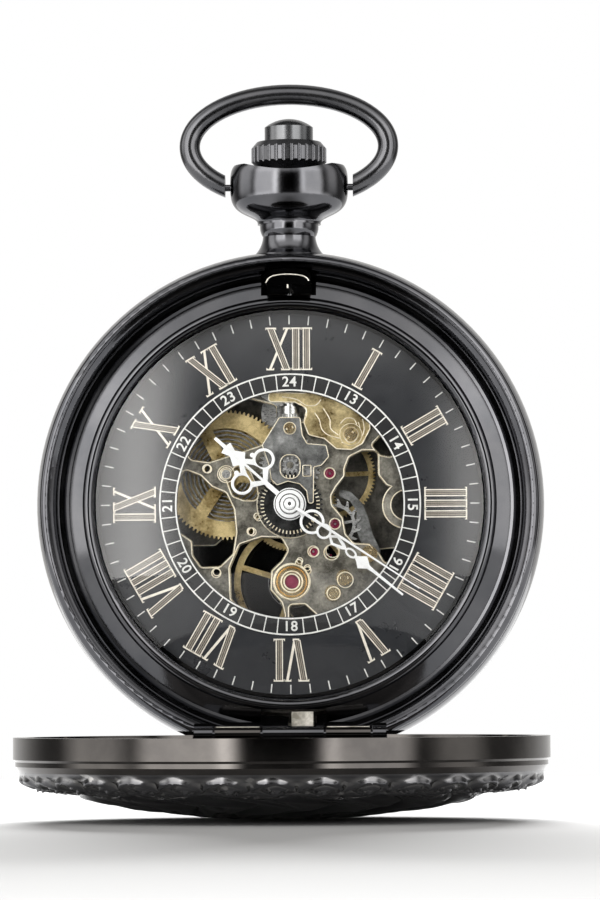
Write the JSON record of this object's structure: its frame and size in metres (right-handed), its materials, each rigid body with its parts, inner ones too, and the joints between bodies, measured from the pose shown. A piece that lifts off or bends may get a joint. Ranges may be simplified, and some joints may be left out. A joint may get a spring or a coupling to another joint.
{
  "type": "pocket watch",
  "caption": "Hunter pocket watch with a domed hinged lid, bow, crown with release button, ring dial and pierced hands over a skeleton hand-wound movement.",
  "frame": {"origin": "centre of the case back's flat outer face, on the axis of the hands", "axes": "+Z towards 12 o'clock and the crown, +X towards 3 o'clock, +Y out of the case back, so the dial faces -Y"},
  "size_m": [0.047, 0.0542, 0.0672],
  "materials": {
    "case_steel": "polished black gunmetal",
    "bezel_steel": "polished black gunmetal",
    "lid_steel": "polished black gunmetal with a relief",
    "bow_steel": "polished black gunmetal",
    "crown_steel": "polished black gunmetal",
    "button_steel": "polished black gunmetal",
    "spring_steel": "spring temper, bright",
    "crystal_glass": "clear domed mineral glass",
    "dial_black": "gloss black with printed numerals",
    "chapter_black": "gloss black with printed numbers",
    "ring_dark": "dark plated",
    "plate_dark": "black nickel plate with polished bevels",
    "gold": "gilt",
    "steel": "polished steel",
    "ruby": "synthetic ruby",
    "hand_silver": "bright silver"
  },
  "bodies": {
    "case": {"back_cover": "case_steel", "case_band": "case_steel", "hinge_pin": "case_steel", "bezel": "bezel_steel", "crystal": "crystal_glass", "movement_ring": "ring_dark", "case_screws": "gold", "pendant": "case_steel", "bow_pins": "case_steel", "mainplate": "plate_dark", "barrel_bridge": "plate_dark", "train_bridge": "plate_dark", "balance_cock": "plate_dark", "pallet_bridge": "gold", "bridge_screws": "steel", "dial_screws": "gold", "jewels": "ruby", "shock_settings": "gold", "side_bridge": "plate_dark", "motion_bridge": "plate_dark", "keyless_cover": "gold", "hairspring": "spring_steel", "dial": "dial_black", "chapter_ring": "chapter_black"},
    "lid": {"lid": "lid_steel"},
    "lift_spring": {"lift_spring": "spring_steel"},
    "latch_spring": {"latch_spring": "spring_steel"},
    "bow": {"bow": "bow_steel"},
    "winding": {"winding_pinion": "steel"},
    "crown": {"crown": "crown_steel", "stem": "steel"},
    "release_button": {"release_button": "button_steel"},
    "clutch": {"sliding_pinion": "steel"},
    "setting_lever": {"setting_lever": "steel"},
    "yoke": {"yoke": "steel"},
    "crown_wheel": {"crown_wheel": "steel"},
    "ratchet": {"ratchet_wheel": "steel", "barrel_arbor": "steel"},
    "seconds": {"seconds_wheel": "gold", "seconds_hand": "hand_silver"},
    "centre": {"centre_wheel": "gold", "centre_pinion": "steel", "cannon_pinion": "steel", "minute_hand": "hand_silver"},
    "third": {"third_wheel": "gold", "third_pinion": "steel"},
    "escape": {"escape_pinion": "steel", "escape_wheel": "steel"},
    "barrel": {"barrel_drum": "gold", "barrel_cover": "gold", "mainspring": "spring_steel"},
    "minute_wheel": {"minute_wheel": "steel"},
    "hour": {"hour_wheel": "steel", "hour_hand": "hand_silver"},
    "setting_wheel": {"setting_wheel": "steel"},
    "balance": {"balance_wheel": "gold", "balance_staff": "steel"},
    "pallets": {"pallet_fork": "steel", "pallet_stones": "ruby"},
    "click": {"click": "steel"}
  },
  "joints": [
    {"name": "lid_hinge", "type": "hinge", "parent": "case", "child": "lid", "pos_m": [0, -0.0096, -0.0212], "axis": [1, 0, 0], "range_deg": [-90, 0]},
    {"name": "lift_spring_flex", "type": "slide", "parent": "case", "child": "lift_spring", "axis": [0, 1, 0], "range_m": [0, 0.0003]},
    {"name": "bow_swing", "type": "hinge", "parent": "case", "child": "bow", "pos_m": [0, -0.0052, 0.0296], "axis": [1, 0, 0], "range_deg": [-90, 90]},
    {"name": "winding_turn", "type": "hinge", "parent": "case", "child": "winding", "pos_m": [0, -0.0052, 0], "axis": [0, 0, 1], "continuous": true},
    {"name": "crown_pull", "type": "slide", "parent": "winding", "child": "crown", "axis": [0, 0, 1], "range_m": [0, 0.001]},
    {"name": "button_press", "type": "slide", "parent": "crown", "child": "release_button", "axis": [0, 0, -1], "range_m": [0, 0.0007], "stiffness_N_per_m": 300, "springref_m": -0.0005},
    {"name": "latch_slide", "type": "slide", "parent": "case", "child": "latch_spring", "axis": [0, 0, -1], "range_m": [0, 0.0007]},
    {"name": "clutch_slide", "type": "slide", "parent": "winding", "child": "clutch", "axis": [0, 0, 1], "range_m": [-0.0005, 0]},
    {"name": "setting_lever_turn", "type": "hinge", "parent": "case", "child": "setting_lever", "pos_m": [0.00565, -0.006, 0.00645], "axis": [0, 1, 0], "range_deg": [0, 9.7]},
    {"name": "yoke_turn", "type": "hinge", "parent": "case", "child": "yoke", "pos_m": [-0.003, -0.006, 0.0116], "axis": [0, 1, 0], "range_deg": [0, 14]},
    {"name": "crown_wheel_turn", "type": "hinge", "parent": "case", "child": "crown_wheel", "pos_m": [0, -0.0022, 0.0086], "axis": [0, 1, 0], "continuous": true},
    {"name": "ratchet_turn", "type": "hinge", "parent": "case", "child": "ratchet", "pos_m": [-0.00595, -0.001, 0.00288], "axis": [0, 1, 0], "continuous": true},
    {"name": "seconds_turn", "type": "hinge", "parent": "case", "child": "seconds", "pos_m": [0, -0.0045, 0], "axis": [0, 1, 0], "continuous": true},
    {"name": "centre_turn", "type": "hinge", "parent": "case", "child": "centre", "pos_m": [0, -0.0045, 0], "axis": [0, 1, 0], "continuous": true},
    {"name": "third_turn", "type": "hinge", "parent": "case", "child": "third", "pos_m": [0.00365, -0.0035, 0.0029], "axis": [0, 1, 0], "continuous": true},
    {"name": "escape_turn", "type": "hinge", "parent": "case", "child": "escape", "pos_m": [0.00412, -0.0035, -0.0018], "axis": [0, 1, 0], "continuous": true},
    {"name": "barrel_turn", "type": "hinge", "parent": "case", "child": "barrel", "pos_m": [-0.00595, -0.0036, 0.00288], "axis": [0, 1, 0], "continuous": true},
    {"name": "minute_wheel_turn", "type": "hinge", "parent": "case", "child": "minute_wheel", "pos_m": [0, -0.0062, 0.00365], "axis": [0, 1, 0], "continuous": true},
    {"name": "hour_turn", "type": "hinge", "parent": "case", "child": "hour", "pos_m": [0, -0.0065, 0], "axis": [0, 1, 0], "continuous": true},
    {"name": "setting_wheel_turn", "type": "hinge", "parent": "case", "child": "setting_wheel", "pos_m": [0, -0.0061, 0.00707], "axis": [0, 1, 0], "continuous": true},
    {"name": "balance_swing", "type": "hinge", "parent": "case", "child": "balance", "pos_m": [0.0001, -0.0036, -0.00715], "axis": [0, 1, 0], "range_deg": [-270, 270], "stiffness_Nm_per_rad": 0.00000065},
    {"name": "pallets_rock", "type": "hinge", "parent": "case", "child": "pallets", "pos_m": [0.0021, -0.0046, -0.00435], "axis": [0, 1, 0], "range_deg": [-5, 5]},
    {"name": "click_turn", "type": "hinge", "parent": "case", "child": "click", "pos_m": [-0.0106, -0.001, 0.0066], "axis": [0, 1, 0], "range_deg": [0, 10], "stiffness_Nm_per_rad": 0.000001, "springref_deg": -5.73}
  ],
  "couplings": [
    {"joint": "lift_spring_flex", "follows": "lid_hinge", "m_per_rad": -0.00019},
    {"joint": "latch_slide", "follows": "button_press", "ratio": 1},
    {"joint": "clutch_slide", "follows": "crown_pull", "ratio": -0.5},
    {"joint": "setting_lever_turn", "follows": "crown_pull", "rad_per_m": 167},
    {"joint": "yoke_turn", "follows": "crown_pull", "rad_per_m": 240},
    {"joint": "crown_wheel_turn", "follows": "winding_turn", "ratio": -0.5},
    {"joint": "ratchet_turn", "follows": "winding_turn", "ratio": 0.31818},
    {"joint": "centre_turn", "follows": "seconds_turn", "ratio": 0.016667},
    {"joint": "third_turn", "follows": "seconds_turn", "ratio": -0.13333},
    {"joint": "escape_turn", "follows": "seconds_turn", "ratio": -10},
    {"joint": "barrel_turn", "follows": "seconds_turn", "ratio": -0.0018519},
    {"joint": "minute_wheel_turn", "follows": "seconds_turn", "ratio": -0.0055556},
    {"joint": "hour_turn", "follows": "seconds_turn", "ratio": 0.0013889},
    {"joint": "setting_wheel_turn", "follows": "seconds_turn", "ratio": 0.022222}
  ]
}
